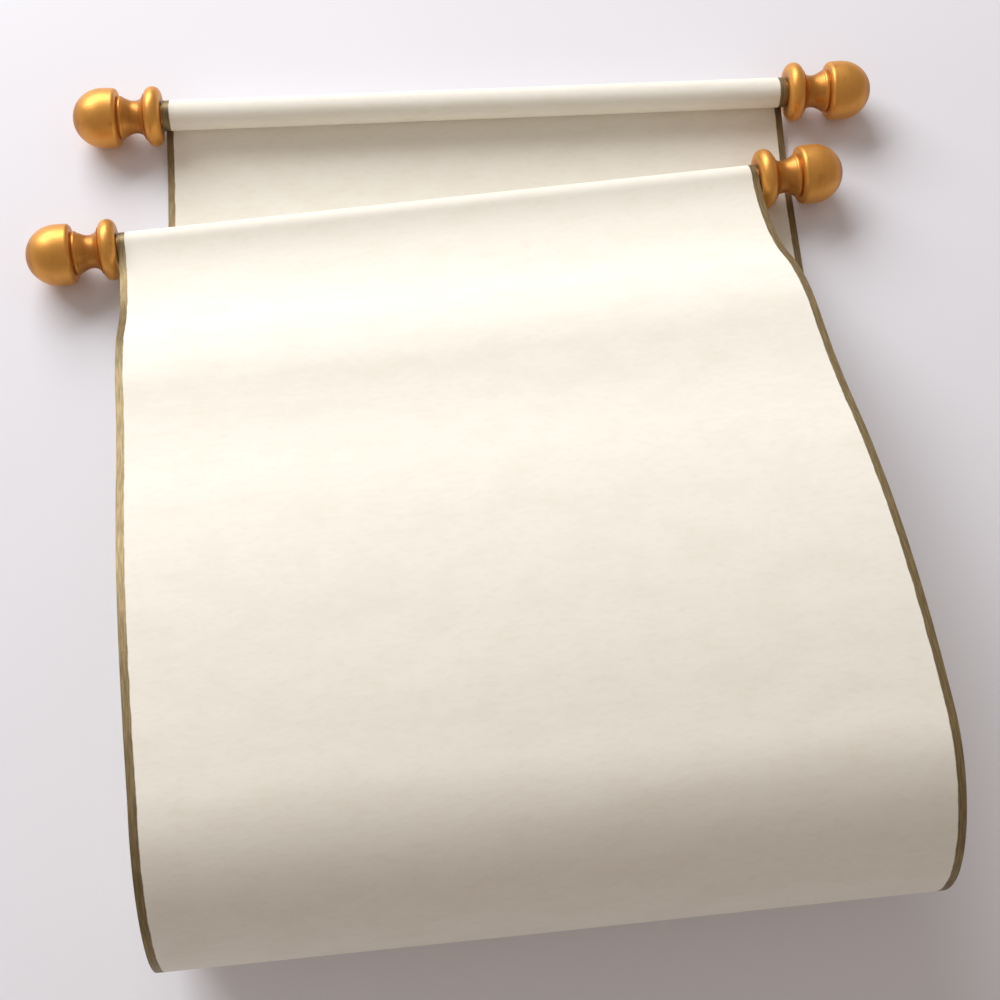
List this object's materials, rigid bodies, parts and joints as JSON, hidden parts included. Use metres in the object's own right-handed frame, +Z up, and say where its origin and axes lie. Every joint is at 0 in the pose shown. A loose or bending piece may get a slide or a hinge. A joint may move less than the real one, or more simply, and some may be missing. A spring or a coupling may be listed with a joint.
{
  "type": "paper scroll",
  "caption": "Blank parchment scroll lying open: a long sheet looped back on itself between dowels with turned gold finials, thin gold stripe on both long edges.",
  "frame": {"origin": "on the table, under the middle of the sheet's lower run", "axes": "+X along the back rod, +Y from the loop towards the back rod, +Z up from the table"},
  "size_m": [0.2742, 0.2773, 0.0695],
  "materials": {
    "parchment_paper": "matte, fine fibre mottling",
    "gold_painted_dowel": "satin metallic paint on wood",
    "gold_painted_finial": "satin metallic gold paint on turned wood"
  },
  "bodies": {
    "root": {"paper_sheet": "parchment_paper", "back_dowel": "gold_painted_dowel", "front_dowel": "gold_painted_dowel", "back_left_finial": "gold_painted_finial", "back_right_finial": "gold_painted_finial", "front_left_finial": "gold_painted_finial", "front_right_finial": "gold_painted_finial"}
  },
  "joints": []
}
